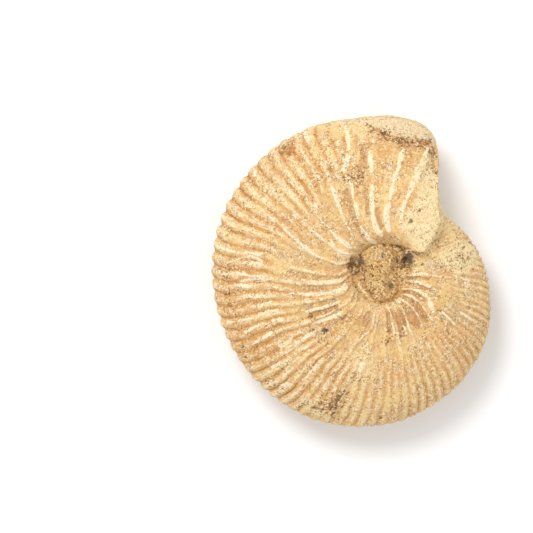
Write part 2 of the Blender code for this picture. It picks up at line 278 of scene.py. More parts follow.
# Lines on the upper flank, each a path of (x, y, half width): ridges rubbed pale, rounder ones by
# the umbilicus, hollows between them painted brown, partly the stone's brown and partly painted
# shade, and dark seams in the umbilicus.
PALE_RIDGES = (
    ((-9.6, 15.6, 0.28), (-9.3, 14.8, 0.37), (-8.7, 13.3, 0.37), (-8.3, 12.2, 0.28),
     (-7.8, 10.7, 0.19)),
    ((-13.3, 8, 0.22), (-12.2, 6.9, 0.37), (-11.1, 5.9, 0.22)),
    ((-9.8, 7.8, 0.19), (-8.7, 6.5, 0.44), (-7.6, 5.6, 0.48), (-6.1, 4.4, 0.3)),
    ((-9.8, 5.9, 0.19), (-9.1, 4.4, 0.44), (-7.8, 3.7, 0.56), (-6.3, 3.1, 0.37)),
    ((-18.5, 8.1, 0.19), (-17.2, 7, 0.26), (-15.7, 5.7, 0.26), (-14.1, 4.4, 0.31),
     (-12.6, 3.3, 0.26), (-11.3, 2.4, 0.19)),
    ((-6.5, 17, 0.26), (-5.9, 15.9, 0.37), (-5.9, 14.8, 0.22), (-5.7, 13.1, 0.3),
     (-5.2, 11.9, 0.46), (-5, 10.4, 0.46), (-5.4, 9.3, 0.19)),
    ((-4.6, 8.7, 0.22), (-3.9, 7.4, 0.46), (-2.6, 6.1, 0.48), (-1.5, 5.4, 0.28)),
    ((-2.2, 15.9, 0.26), (-2.4, 14.1, 0.37), (-2.2, 12.4, 0.41), (-2.4, 10.9, 0.33),
     (-2, 9.3, 0.48), (-1.5, 8, 0.56), (-0.6, 6.9, 0.37)),
    ((2.6, 18.9, 0.28), (2, 17.8, 0.52), (1.7, 16.5, 0.33), (1.3, 15.2, 0.37), (0.9, 13.7, 0.26),
     (0.6, 12.2, 0.56), (0.2, 10.7, 0.52), (0.4, 9.3, 0.48), (0.7, 7.8, 0.44)),
    ((3.3, 22.4, 0.37), (3.1, 21.5, 0.56), (2.8, 20.4, 0.41), (2.6, 19.3, 0.22)),
    ((6.1, 18.5, 0.74), (5.6, 16.9, 0.83), (4.8, 15.4, 0.46), (4.3, 14.1, 0.33),
     (3.5, 12.6, 0.33), (3, 10.9, 0.37), (3, 9.3, 0.3), (3.3, 7.6, 0.22)),
    ((-7, 27, 0.37), (-6.7, 25.6, 0.37), (-6.5, 23.5, 0.3), (-6.5, 21.9, 0.48),
     (-6.7, 20.6, 0.44), (-7.2, 19.3, 0.37), (-8, 18.5, 0.19)),
    ((8.1, 22.8, 0.3), (7.7, 21.5, 0.6), (7.2, 20, 0.74), (6.5, 18.9, 0.74)),
    ((-2.8, 22.2, 0.37), (-2.4, 20.4, 0.48), (-2.4, 18.5, 0.26)),
    ((-14.8, 26.3, 0.44), (-14.1, 25, 0.44), (-13.7, 23.9, 0.3)),
    ((-17.2, -3.8, 0.19), (-13.5, -4, 0.31), (-9.8, -3.6, 0.41), (-8.3, -3.3, 0.41),
     (-7.2, -2.6, 0.44), (-6.9, -1.9, 0.26)),
    ((-14.8, -1.3, 0.19), (-12, -1.7, 0.24), (-9.4, -1.5, 0.24), (-7.8, -1.3, 0.3)),
    ((-14.4, -7.1, 0.19), (-12.8, -6.7, 0.33), (-10.7, -6.3, 0.37), (-9.3, -5.7, 0.31),
     (-8.3, -5.2, 0.19)),
    ((-13.1, -9.3, 0.22), (-11.3, -8.7, 0.33), (-9.8, -8.2, 0.33), (-8.5, -7.5, 0.31),
     (-7.6, -6.9, 0.19)),
    ((-12.8, -10.6, 0.22), (-14.3, -11.7, 0.33), (-15.4, -12.6, 0.37), (-16.7, -13.7, 0.37),
     (-18, -14.6, 0.26)),
    ((-28, 2.2, 0.19), (-25.9, 2.9, 0.22), (-24.3, 3, 0.22), (-22.4, 2.2, 0.19)),
    ((-25.9, 1.9, 0.26), (-24.3, 2, 0.3), (-22.4, 1.7, 0.22)),
    ((-29.4, -0.2, 0.19), (-27.4, 0, 0.26), (-24.6, -0.4, 0.26), (-22.4, -0.7, 0.19)),
    ((-26.5, -1.5, 0.22), (-24.6, -1.2, 0.33), (-22.4, -1.3, 0.37), (-21.1, -1.1, 0.19)),
    ((-27.2, -2.2, 0.26), (-25.2, -2.4, 0.37), (-23.3, -2.2, 0.22)),
    ((-25.6, -4.3, 0.26), (-23.5, -4.3, 0.33), (-21.7, -4.1, 0.19)),
    ((-23.1, -6.1, 0.28), (-21.9, -5.6, 0.31), (-20.6, -5.2, 0.19)),
    ((-23.1, -7.8, 0.19), (-21.3, -7, 0.24), (-19.6, -6.7, 0.19)),
    ((-28.7, -9.1, 0.19), (-26.5, -8.7, 0.2), (-24.3, -8.3, 0.17)),
    ((-25.6, -10.9, 0.19), (-23.9, -10, 0.24), (-22.4, -9.1, 0.19)),
    ((-23.9, -13, 0.19), (-22.2, -11.9, 0.37), (-20.6, -10.9, 0.26)),
    ((-20.6, -8.7, 0.19), (-19.1, -8.5, 0.3), (-18.1, -9.3, 0.19)),
    ((-19.1, -13.5, 0.3), (-17.6, -12.6, 0.37), (-16.7, -11.7, 0.26)),
    ((-20.7, -17.4, 0.28), (-19.1, -16.5, 0.28)),
    ((-19.1, -21.1, 0.37), (-17.6, -20.2, 0.22)),
    ((-25.4, 3.9, 0.19), (-23.1, 3.5, 0.24), (-21.7, 3.7, 0.19)),
    ((-30.9, 5, 0.26), (-29.3, 4.3, 0.26), (-27.4, 3.9, 0.19)),
    ((14.1, -7.2, 0.19), (15.2, -8, 0.3), (16.3, -8.7, 0.19)),
    ((10.6, -7.2, 0.19), (11.9, -8.3, 0.22), (12.8, -9.3, 0.19)),
    ((8.1, -4.8, 0.33), (8.5, -5.9, 0.56), (8.9, -7, 0.37)),
)
ROUND_RIDGES = (
    ((-15.7, -15.4, 0.26), (-16.9, -16.5, 0.31), (-18, -17.6, 0.22)),
    ((-11.3, -15.6, 0.26), (-12, -16.5, 0.33), (-13, -17.6, 0.26), (-13.9, -18.7, 0.22),
     (-15, -19.8, 0.19)),
    ((-1.9, -7.2, 0.19), (-2, -8.7, 0.26), (-2.4, -10.4, 0.22), (-3.7, -11.3, 0.2),
     (-5, -12.8, 0.19)),
    ((0.4, -5.9, 0.22), (1.1, -7.2, 0.26), (1.5, -9.1, 0.24), (1.9, -11.5, 0.2)),
    ((1.5, -5.6, 0.3), (2.4, -6.7, 0.33), (3, -8, 0.28), (3.5, -9.6, 0.26), (4.1, -11.3, 0.22)),
    ((2.2, -5, 0.26), (3.1, -5.7, 0.33), (3.7, -7, 0.33), (4.1, -8.5, 0.31), (4.4, -10, 0.24),
     (5.2, -11.5, 0.19)),
    ((2.6, -4.6, 0.26), (3.9, -5.3, 0.31), (5, -6.1, 0.31), (5.7, -7.2, 0.28), (6.5, -8.7, 0.22),
     (6.9, -10.2, 0.19)),
    ((3, -4.1, 0.26), (4.1, -4, 0.26), (5.2, -4.4, 0.31), (6.1, -5.4, 0.37), (7, -6.5, 0.37),
     (7.8, -7.6, 0.33), (8.9, -8.7, 0.22)),
    ((3.5, -3, 0.28), (5, -3, 0.22), (6.5, -3.4, 0.37), (7.6, -4.1, 0.41)),
    ((4.3, -1.5, 0.26), (5.6, -1.6, 0.31), (6.9, -1.9, 0.37), (8.1, -2.4, 0.35),
     (9.3, -3.1, 0.22)),
    ((3.7, -0.5, 0.22), (5.2, -0.4, 0.31), (6.9, -0.1, 0.31), (8.7, -0.4, 0.26),
     (10.6, -0.7, 0.22), (12, -0.9, 0.19)),
    ((-4.6, -2, 0.22), (-3.9, -3.1, 0.31), (-3, -4.3, 0.26), (-1.9, -5.1, 0.2)),
)
HOLLOWS = (
    ((4.8, -0.9, 0.22), (6.5, -0.9, 0.3), (8.1, -1.1, 0.22)),
    ((4.6, -2, 0.22), (6.5, -2.5, 0.3), (8.1, -3, 0.22)),
    ((3.7, -3.4, 0.22), (5, -3.5, 0.3), (6.3, -4.2, 0.33), (7.4, -5, 0.3)),
    ((3.5, -4.4, 0.26), (4.8, -5, 0.41), (5.9, -5.9, 0.56), (6.9, -7.2, 0.56), (7.6, -8.5, 0.44)),
    ((3.1, -5.6, 0.26), (4.3, -6.7, 0.56), (5, -8, 0.83), (5.9, -9.4, 0.65)),
    ((2.4, -6.3, 0.3), (3.1, -7.8, 0.41), (3.7, -9.3, 0.37)),
    ((1.3, -6.7, 0.3), (2.2, -8.1, 0.48), (3, -10.2, 0.48)),
    ((0.6, -7.2, 0.3), (0.7, -9.1, 0.33), (1.1, -10.9, 0.3)),
    ((-3, -7.4, 0.44), (-3.5, -9.4, 0.56)),
    ((-13.1, -7.6, 0.41), (-10.7, -7, 0.48), (-8.7, -6.1, 0.3)),
    ((-11.3, -10, 0.26), (-9.3, -8.9, 0.37), (-7.4, -8, 0.37)),
    ((-4.1, 23.1, 0.56), (-3.7, 20.9, 0.56), (-4.3, 18.7, 0.63), (-4.4, 16.5, 0.48)),
    ((-7, 14.8, 0.56), (-6.5, 13, 0.63), (-5.9, 10.9, 0.48), (-5.2, 8.9, 0.48), (-4.6, 7.6, 0.3)),
    ((-3.5, 15.4, 0.3), (-3.3, 13, 0.33), (-3.1, 10.6, 0.3)),
    ((-1.7, 27.6, 0.74), (0.2, 26.5, 0.83), (2.4, 25.9, 0.83), (3.7, 24.3, 1.11),
     (5.6, 23.9, 0.93), (7.4, 23.7, 0.83), (8.9, 24.4, 0.56)),
    ((9.1, 22.2, 0.3), (9.1, 20.4, 0.3), (9.3, 18.5, 0.22)),
    ((-1.5, 11.7, 0.3), (-1.1, 9.8, 0.33), (-0.6, 8.3, 0.3)),
    ((-5.7, 2.8, 0.3), (-6.1, 0.9, 0.37), (-5.7, -0.7, 0.37)),
    ((-3.7, -1.3, 0.26), (-3.3, -3, 0.3), (-2.4, -3.7, 0.3), (-0.7, -4.4, 0.3),
     (0.6, -4.8, 0.26)),
    ((0.7, -0.7, 0.56), (0.9, -2, 0.83), (0.6, -3.3, 0.56)),
    ((-3.5, 3.9, 0.19), (-3, 4.8, 0.15), (-1.7, 5.2, 0.11), (-0.2, 5.4, 0.11), (1.3, 5.2, 0.11),
     (2.8, 4.8, 0.15), (4.3, 4.3, 0.26)),
)
DARK_SEAMS = (
    ((2.4, 4.8, 0.26), (3.3, 4.4, 0.24)),
    ((4.8, 4.1, 0.19), (5.9, 3.6, 0.15), (7.2, 3.9, 0.15)),
    ((-3, -3.3, 0.19), (-2.2, -3.9, 0.3)),
    ((-2.6, 1, 0.26), (-2, 0.8, 0.26)),
    ((-1.1, 1.1, 0.3), (-0.6, 1.3, 0.3)),
    ((2.8, -0.7, 0.19), (3.3, -1.5, 0.22)),
    ((-3.7, 0.2, 0.19), (-3.5, -1.1, 0.22)),
    ((-5.7, 2.6, 0.22), (-6.1, 1.1, 0.26), (-5.7, -0.4, 0.22)),
    ((-5.4, 1.7, 0.19), (-4.8, 1.1, 0.22), (-4.3, 1.3, 0.19)),
    ((16, 5.7, 0.17), (17.2, 4.9, 0.26), (18.1, 4, 0.17)),
    ((-15.6, -24.6, 0.15), (-14.6, -24.3, 0.26), (-13.8, -23.8, 0.2)),
    ((-13.8, -24.3, 0.15), (-11.9, -25.1, 0.28), (-10.4, -25.1, 0.22), (-9.1, -24.6, 0.15)),
    ((-9.8, -27.5, 0.26), (-9.3, -25.4, 0.22), (-8.5, -23.3, 0.26), (-7.7, -21.9, 0.28),
     (-6.9, -21.1, 0.15)),
)
PALE_RISE = 0.13
ROUND_RISE = 0.22
HOLLOW_SINK = 0.22
PIT_DEPTH = 0.35

# Places on the upper flank, each (x, y, radius, strength): ribs worn down, pits, cream matrix
# left on the whorl, dark specks, pale and brown crusts with one painted glint among the pale,
# washes of ochre and cream with some cream as painted light on the shadow beside the aperture
# lobe, and grey, dark and rusty stains, the dark ones also painting the shade in the deep hole of
# the plug.
WORN_PATCHES = (
    (-19.1, 1.5, 3.52, 0.8), (-15.6, 7, 4.44, 0.6), (-9.1, 14.1, 5, 0.5), (-12, -10, 2.96, 0.4),
    (-3, -15.9, 4.07, 0.6), (9.1, -9.1, 3.52, 0.5), (12, -3.5, 2.96, 0.6), (14.1, 2.6, 4.4, 1),
    (15.7, 3.9, 2.6, 1), (12.8, 8.2, 4.6, 0.85), (-12.4, -25, 3.9, 0.8), (-5.5, -22.5, 4.4, 0.4),
)
PITS = (
    (-18.3, 23.3, 0.83, 1), (-18.9, 22.4, 0.65, 1), (-17.4, 22, 0.56, 1),
    (-12.6, 25.7, 0.44, 0.8), (-10.4, 25.7, 0.48, 0.8), (-9.4, 24.4, 0.52, 0.9),
    (-8.9, 23.3, 0.44, 0.8), (-16.3, 8.7, 0.63, 1), (-15.4, 8.1, 0.41, 0.7),
    (-10.9, -10.6, 0.93, 1), (-8, -8.3, 0.56, 0.7), (-13.5, -7.9, 0.56, 1),
    (-13, -10.6, 0.41, 0.9), (-28.3, 8.3, 0.48, 0.8), (-29.8, 1.9, 0.48, 0.8),
    (-26.1, -13.5, 0.63, 1), (-25.5, -15.7, 0.56, 1), (0.7, -10.6, 0.44, 0.9),
    (0.5, -12.6, 0.56, 1), (-6.3, -24.8, 0.44, 0.8), (3.1, -11.5, 0.41, 0.9),
    (9.8, -1.9, 0.48, 0.7), (9.4, -10.9, 0.48, 0.7), (-0.4, -26.9, 0.48, 1),
    (1.9, -25.2, 0.41, 0.8), (4.8, 9.4, 0.83, 1), (6.9, 13.4, 0.44, 0.9), (6.2, 11.3, 0.37, 0.8),
    (7.6, 15, 0.48, 0.8), (6.9, 6.5, 0.48, 0.9), (-4.1, 7, 0.56, 0.9), (2.6, 13.9, 0.41, 0.8),
    (-2.1, -0.6, 0.48, 1), (-0.9, 0.1, 0.44, 1), (1.5, 0.6, 0.41, 0.9), (0, 5.2, 0.56, 1),
    (-8.1, -21.9, 0.56, 0.8), (-6.7, -22.2, 0.44, 0.8), (-14.6, -23.1, 0.56, 0.8),
    (-9.8, -19.3, 0.44, 0.6), (-6.1, -19.4, 0.41, 0.7), (-0.2, 25.9, 0.63, 0.9),
    (4.1, 24.3, 0.65, 0.8), (8.9, 24.6, 0.48, 0.9), (8.3, 22.2, 0.56, 0.9), (8.3, 20, 0.52, 0.9),
    (9.3, 18.5, 0.48, 0.8), (8.7, 17.2, 0.41, 0.7), (14.8, 3, 0.56, 0.8), (16.5, 0.7, 0.44, 0.8),
    (12.6, 1.1, 0.44, 0.9), (13.7, 3.5, 0.44, 0.8), (12.2, 4.1, 0.41, 0.8),
    (14.6, 4.7, 0.44, 0.9), (16.3, 3.7, 0.41, 0.9), (14.8, 1, 0.37, 0.8), (15.7, 2.6, 0.48, 0.9),
    (12, 3, 0.37, 0.8), (7.8, -5.1, 0.41, 0.9), (5, -5.1, 0.44, 0.8),
)
MATRIX_PATCHES = (
    (6.3, 8.7, 5, 1), (8.1, 12, 4.44, 1), (9.3, 14.4, 2.96, 1), (7.2, 5.9, 3.33, 1),
    (8.1, 17.6, 2.41, 0.9), (8, 20.9, 1.67, 0.8), (12, 3.1, 2.78, 1), (13.9, 2, 3.52, 1),
    (7.4, 15, 2.59, 0.9), (7.8, 18.7, 2.2, 0.9), (13.9, 2.9, 4, 2), (15.6, 3.4, 3.3, 1.6),
    (12.4, 2.6, 2.4, 1.6), (-14.2, -24, 2, 0.7), (-12, -25.9, 2, 0.75), (-10.2, -26.7, 1.6, 0.7),
    (-12.4, -23.3, 1.3, 0.6),
)
SPECKLED_PATCHES = (
    (8.9, 19.1, 2.59, 1), (8.7, 22.8, 2.59, 1), (-5.9, 18, 5, 0.6), (-10, -24.4, 5, 1),
    (-16.3, 8.3, 2.96, 0.6), (0.4, 26.1, 2.59, 1), (3.9, 24.1, 2.59, 1), (6.9, 23.9, 2.59, 1),
    (-18.1, 23.1, 2.78, 0.9), (13.9, 2.4, 4.07, 1), (-7, -22, 2.59, 0.8), (0.4, -11.7, 2.59, 0.8),
    (-29.3, -0.5, 2.2, 0.9), (-28.9, -3.7, 2, 0.9), (-28.3, -6.9, 2.2, 0.9), (-27, -11.3, 2, 0.7),
    (-4.4, 0.8, 2.6, 1), (2.6, 1.2, 2.2, 1), (1.2, -2.2, 1.7, 1),
)
PALE_PATCHES = (
    (-23.7, 18.7, 1.11, 0.7), (-20.2, 9.8, 0.93, 0.9), (-18, 18.5, 0.65, 0.8),
    (-14.8, 22, 0.65, 0.8), (-10.7, 20.7, 0.56, 0.8), (-12.6, 12.6, 0.93, 0.8),
    (-16.3, 10.4, 1.3, 0.6), (-8.5, 3.9, 1.11, 0.6), (7.6, 17.6, 1.3, 0.9),
    (7.4, 20.9, 1.11, 0.7), (-4.3, -17.2, 1.85, 0.6), (3.7, -0.4, 0.93, 0.7),
    (-12.4, -20.4, 0.93, 0.7), (-11.1, -21.1, 0.74, 0.7), (-13.9, -14.3, 0.56, 0.9),
    (9.4, 15.7, 0.93, 0.7), (13.3, 0, 1.11, 0.6), (14.8, 2, 1.67, 0.8), (13.5, 3, 3.7, 0.8),
    # The small dot at (11.5, -12.4) is a painted glint.
    (15.2, -1.7, 1.3, 0.7), (15.4, -7.8, 0.74, 0.6), (-2, 24.4, 0.41, 1), (11.5, -12.4, 0.37, 1),
    # (10.6, 8.7), beside the aperture lobe, is partly painted light over the lobe's shadow.
    (-19.4, 1.7, 1.67, 0.3), (-17.2, -1.3, 2.04, 0.3), (10.6, 8.7, 1.11, 0.4),
)
BROWN_PATCHES = (
    (5.9, -7, 4.07, 0.5), (1.3, -9.1, 3.7, 0.4), (-4.3, -9.1, 2.96, 0.35), (10, 4.6, 0.9, 0.5),
    (16.1, 6.5, 2.22, 0.4), (-4.3, 14.3, 2.59, 0.4), (-15.4, -5, 2.59, 0.2),
    (-12.6, -8.3, 2, 0.4), (-4.6, 0.6, 2.2, 0.9), (1.2, -1.9, 1.67, 0.8), (2.2, 1.9, 1.48, 0.7),
    (0.4, 4.4, 1.3, 0.5),
)
OCHRE_WASH = (
    (-27.4, -5, 7.41, 0.85), (-23.7, -13.3, 7.41, 0.9), (-26.5, 0.9, 5.56, 0.8),
    (-17.2, 20.9, 3.7, 0.4), (0.4, 6.9, 2.78, 0.8), (4.1, 6.5, 2.22, 0.7), (4.6, 20.9, 4.07, 0.6),
    (5.9, -8.1, 4.07, 0.7), (13.3, -10.6, 6.3, 0.3), (-4.3, -9.1, 4.44, 0.4),
    (-11.7, -25.4, 6.3, 0.1), (0.4, 22.8, 4.44, 0.65), (-7, -8.3, 3.7, 0.4),
    (-20.9, -10.6, 5.56, 0.5), (-15.4, 6.1, 2.59, 0.3), (10.6, -5, 3.7, 0.4),
    (-9.8, -14.3, 4.07, 0.3), (15.7, 7.6, 3, 0.7), (10.2, -0.6, 2.2, 0.5), (10.4, 5.2, 1.6, 0.6),
)
CREAM_WASH = (
    (-15.4, 2, 4.44, 0.45), (-18.1, -1.9, 3.7, 0.3), (-4.3, -17, 6.3, 0.7),
    (-18.1, 15.4, 6.3, 0.6), (-22.4, 12.6, 4.07, 0.4), (-7, 4.3, 4.07, 0.7), (-4.3, 28, 6.3, 0.6),
    # (11.9, 8.7) and (10.6, 5.4), beside the aperture lobe, are partly painted light over the
    # lobe's shadow.
    (17, 2.4, 4.81, 0.5), (16.1, -3.1, 4.07, 0.15), (11.9, 8.7, 2.41, 0.9), (10.6, 5.4, 2.6, 0.7),
    (-2.4, -5.9, 3.7, 0.5), (-7, 18.1, 3.33, 0.3), (-13.5, 10.7, 4.44, 0.4),
    (-9.8, -19.8, 4.44, 0.3), (-5, -26.5, 4.44, 0.3), (17, -7.4, 3.7, 0.4),
)
GREY_PATCHES = (
    (-1.1, -9.4, 1.48, 0.9), (-8.7, 18, 2.22, 0.5), (-9.8, 15.7, 1.11, 0.5),
    (-0.4, 3.1, 1.48, 0.8), (-1.7, 3.9, 1.11, 0.8), (-3.7, 1.9, 1.11, 0.6), (8.7, 1.1, 3.15, 0.8),
    (-9.8, 8.9, 2.59, 0.35), (-11.1, -10.6, 2.04, 0.6), (5, 2, 2.41, 0.4),
    (-15.4, 4.8, 2.59, 0.4), (-5.7, 2, 2.22, 0.5), (2.2, 24.3, 2.22, 0.4), (13, -7.5, 5, 0.5),
    (-18.3, 3.4, 3.5, 0.45), (-12.2, -11.3, 3, 0.4),
)
DARK_STAINS_AND_HOLE_SHADE = (
    # The spots round the deep hole at (4.3, 2.5) are painted shade inside it as well as stain.
    (4.3, 3, 1.57, 1), (5, 2, 1.11, 0.8), (3.5, 1.3, 0.93, 0.9), (3.8, 2.4, 1.3, 0.9),
    (-4.2, 2.2, 1.2, 0.9), (3.7, 4.1, 0.74, 0.7), (-4.4, 2.9, 0.93, 0.9), (-3.7, 2, 0.93, 0.7),
    (-5.2, 1.9, 0.65, 0.8), (6.8, 1.7, 0.56, 0.8), (0.4, -2, 0.65, 0.6),
    (-10.9, -10.6, 0.83, 0.5), (-0.2, 3.2, 0.74, 0.9), (-4.9, 0.2, 1, 0.8),
    (-3.3, 0.6, 0.65, 0.8), (2.4, 2.4, 0.83, 0.9), (2.2, 0.9, 0.65, 0.8), (1.3, -2.4, 0.83, 0.7),
    (4.6, 1.1, 0.65, 0.7),
)
RUST_STAINS = (
    (-17.2, 22.6, 1.67, 1), (-14.4, 21.9, 0.56, 0.7), (-22, 18.3, 0.48, 0.8),
    (-20.7, 17.7, 0.48, 0.8), (-19.8, 17.1, 0.41, 0.7), (-17.2, 5.1, 0.65, 0.8),
    (-18.9, 8.5, 0.48, 0.7), (-1.3, 1.9, 0.93, 0.6), (3, 2.4, 0.83, 0.7), (-5.2, -2, 0.74, 0.5),
    (1.9, 26.5, 0.63, 0.7), (2.6, 25.7, 0.56, 0.7), (5.9, 25, 0.63, 0.7), (7.6, 24.1, 0.74, 0.7),
    (7, 23, 0.56, 0.6), (8.1, 21.5, 0.56, 0.7), (-2.4, 24.8, 0.56, 0.6), (10.6, 5.6, 1.11, 0.3),
    (5.6, -9.1, 1.11, 0.45), (-11.1, 14.4, 0.56, 0.6), (0.7, -11.7, 0.63, 0.5),
    (3, -11.2, 0.83, 0.7), (0.6, -12.9, 0.83, 0.7),
)

# Colours of the stone, as the photograph's light shows them.
TAN = "#E2B97C"
YELLOW = "#EBC883"
ORANGE_TAN = "#DFAE72"
GREY_TAN = "#CBAF86"
PINK_TAN = "#DFB78F"
FURROW_OCHRE = "#CF9550"
FURROW_SHADE_LINE = "#A87842"
BROWN_AND_HOLLOW_SHADE = "#BC8955"
CREST_CREAM = "#FCEAC6"
GRAIN_PALE = "#FFEDC4"
GRAIN_DARK = "#A27133"
MATRIX_CREAM = "#EDD39F"
WORN_CREAM = "#E4CAA0"
PLUG_OCHRE = "#CE9E54"
PLUG_TAN = "#E3BA76"
PLUG_BROWN = "#5A3A16"
SPECK_BROWN = "#7C521F"
PIT_BROWN = "#6A4820"
DARK_STAIN_AND_SHADE = "#554239"
RUST = "#B96F26"

# The notes that patches go into.
NOTED_PATCHES = {
    "matrix": MATRIX_PATCHES,
    "specks": SPECKLED_PATCHES,
    "pits": PITS,
    "pale": PALE_PATCHES,
    "brown": BROWN_PATCHES,
    "ochre": OCHRE_WASH,
    "cream": CREAM_WASH,
    "grey": GREY_PATCHES,
    "stain": DARK_STAINS_AND_HOLE_SHADE,
    "rust": RUST_STAINS,
}

# What the finish reads from each point of the mesh, and how strongly some of it is noted: how
# fast the fibres run on over the rim, how pale the rounder ridges are, partly pale stone and
# partly a painted highlight, how speckled the plug is, how much cleaner the matrix is, and how
# porous the plug is beside its disc.
FINISH_NOTES = (
    *("rib", "along_rib", "from_primary", "primary", "secondary", "rim", "hollow_shade", "plug"),
    *("worn", "porous", *NOTED_PATCHES),
)
RIM_TURN = 0.7
ROUND_RIDGE_PALE_AND_HIGHLIGHT = 0.5
PLUG_SPECKS = 0.4
MATRIX_CLEAN = 0.3
PLUG_PORES = 0.6
PORES_RIM = 0.4

# Patterns in the stone: the size of their lumps in millimetres, detail and roughness; how
# much they are twisted; and the size of the crystals. Real grit and crystals, mostly under
# 0.1 mm, are too fine to show, so both are drawn as coarse as they need to be.
PATTERNS = {
    "broad": (5.5, 3, 0.55),
    "mottled": (3.2, 3, 0.6),
    "patchy": (2.3, 4, 0.6),
    "flecked": (1.1, 4, 0.6),
    "waves": (1.3, 3, 0.6),
    "rubbed": (1.0, 4, 0.65),
    "coarse_edge": (0.9, 4, 0.65),
    "fine_edge": (0.45, 3, 0.65),
    "pores": (0.5, 4, 0.75),
    "crumbs": (0.6, 3, 0.6),
    "spots": (0.42, 3, 0.6),
    "grit": (0.24, 2, 0.7),
}
PATTERN_TWIST = 0.5
CRYSTAL_SIZE = 0.26

# Patterns with firmer edges: what they follow, where they start and are full, and their
# least value.
FIRM_PATTERNS = {
    "rubbed": ("rubbed", 0.42, 0.56, 0.0),
    "pores": ("pores", 0.4, 0.48, 0.0),
    "sandy": ("patchy", 0.38, 0.6, 0.3),
}

# Fibres along the ribs: how many cross a rib, and how many lie along a millimetre.
FIBRES_ACROSS = 6.5
FIBRES_ALONG = 0.45

# How far the pale crest, partly rubbed stone and partly a painted highlight on the lit side, lies
# from the middle of its rib, in ribs, taking the ochre furrow, partly stain and partly painted
# shade, to the other side; and how much of the cream an ochre wash takes.
LIT_SIDE_SHIFT = -0.14
DYED_LOSS = 0.5

# Sums of two values: the sum's name, what is added, how many times, and to what. An edge
# pattern gives stains and crusts their crumbled edges.
SUMS = (
    ("crest", "waves", 0.4, "rib"),
    ("primary_crest", "waves", 1.0, "from_primary"),
    ("grey", "coarse_edge", 1.2, "grey"),
    ("brown", "coarse_edge", 1.3, "brown"),
    ("pale", "coarse_edge", 1.5, "pale"),
    ("matrix", "coarse_edge", 0.9, "matrix"),
    ("worn", "coarse_edge", 0.8, "worn"),
    ("grains", "crystals", 0.3, "grit"),
    ("grains", "crumbs", 0.6, "grains"),
    ("spots", "specks", 0.15, "spots"),
    ("spots", "patchy", 0.3, "spots"),
    ("pits", "fine_edge", 2.2, "pits"),
    ("rust", "fine_edge", 2.0, "rust"),
    ("stain", "fine_edge", 2.4, "stain"),
    ("rough", "grains", 0.5, "raised_fibres"),
    ("rough", "spots", -0.8, "rough"),
)

# Colours laid in turn over the tan ground: how strong, what they are kept to, the colour,
# and what they follow, with where they start and are full. Mottling and washes come first,
# then ribs, plug and crusts, the grain of the stone over them, and the dark marks.
LAYERS = (
    (1.0, (), YELLOW, "mottled", 0.4, 0.6),
    (0.8, (), ORANGE_TAN, "broad", 0.48, 0.62),
    (0.75, (), GREY_TAN, "patchy", 0.52, 0.66),
    (0.6, (), PINK_TAN, "flecked", 0.55, 0.68),
    (0.6, (), FURROW_OCHRE, "flecked", 0.44, 0.32),
    (0.9, ("ochre",), FURROW_OCHRE),
    (0.85, ("cream",), MATRIX_CREAM),
    (0.7, ("secondary",), CREST_CREAM, "fibres", 0.52, 0.64),
    (0.7, ("secondary",), FURROW_OCHRE, "fibres", 0.47, 0.34),
    # Ochre in the furrows between secondary ribs: partly ochre stain, partly painted shade.
    (0.85, ("secondary",), FURROW_OCHRE, "from_crest", 0.24, 0.42),
    # A dark line in the furrows near the rim: painted shade in the crease on the shaded side of
    # each rib.
    (0.9, ("rim",), FURROW_SHADE_LINE, "from_crest", 0.4, 0.48),
    # Brown on the floor between primary ribs: partly the stone's brown, partly painted shade in
    # the hollows.
    (0.4, ("hollow_shade",), BROWN_AND_HOLLOW_SHADE, "from_primary", 0.3, 1.1),
    # Cream on the secondary crests: partly rubbed stone, partly a painted highlight on the lit
    # side.
    (0.78, ("secondary", "rubbed"), CREST_CREAM, "from_crest", 0.2, 0.05),
    (0.8, ("primary", "rubbed"), CREST_CREAM, "from_primary", 0.5, 0.15),
    (1.0, ("plug",), PLUG_OCHRE),
    (1.0, ("porous",), "plug_pores"),
    (0.6, (), GREY_TAN, "grey", 0.8, 1.1),
    # Brown crusts, and the carved hollows browned partly as painted shade.
    (0.7, (), BROWN_AND_HOLLOW_SHADE, "brown", 0.85, 1.15),
    (0.9, (), CREST_CREAM, "pale", 1.0, 1.3),
    (1.0, (), MATRIX_CREAM, "matrix", 0.6, 0.9),
    (1.0, (), WORN_CREAM, "worn", 0.7, 1.0),
    (0.82, ("sandy",), GRAIN_PALE, "grains", 0.98, 1.12),
    (0.8, ("sandy",), GRAIN_DARK, "grains", 0.91, 0.76),
    (0.85, (), SPECK_BROWN, "spots", 0.78, 0.85),
    (0.8, (), PIT_BROWN, "pits", 1.45, 1.75),
    (0.7, (), RUST, "rust", 1.3, 1.6),
    # Dark stains, and painted shade in the deep hole.
    (0.8, (), DARK_STAIN_AND_SHADE, "stain", 1.5, 1.8),
)

# Matt stone, with the fibres, the grain and the specks this deep in the surface, in
# millimetres.
STONE_ROUGHNESS = 0.82
STONE_IOR = 1.5
GRAIN_DEPTH = 0.2

# Studio: a white board, a room of even light with one soft lamp from the upper left, and
# the camera straight above.
TABLE_SIZE = 3
BOARD_WHITE = "#F7F7F7"
BOARD_ROUGHNESS = 0.6
ROOM_LIGHT = 0.87
KEY_WATTS = 2.0
KEY_SIZE = 0.26
KEY_PLACE = (-0.2, 0.28, 0.56)
CAMERA_PLACE = (-0.01907, 0.0012, 0.60975)
CAMERA_LENS = 218.9
CAMERA_SENSOR = 36

# Points nearer than this are one point, where the sheet closes.
JOINT_GAP = 1e-5

# What is kept of each point's place on the coil, and where two of these stand in a row
# that starts with x, y and z.
PLACE_NOTES = ("share", "angle", "rib_number", "on_whorl")
SHARE, ON_WHORL = 3, 6


# Shape tools.


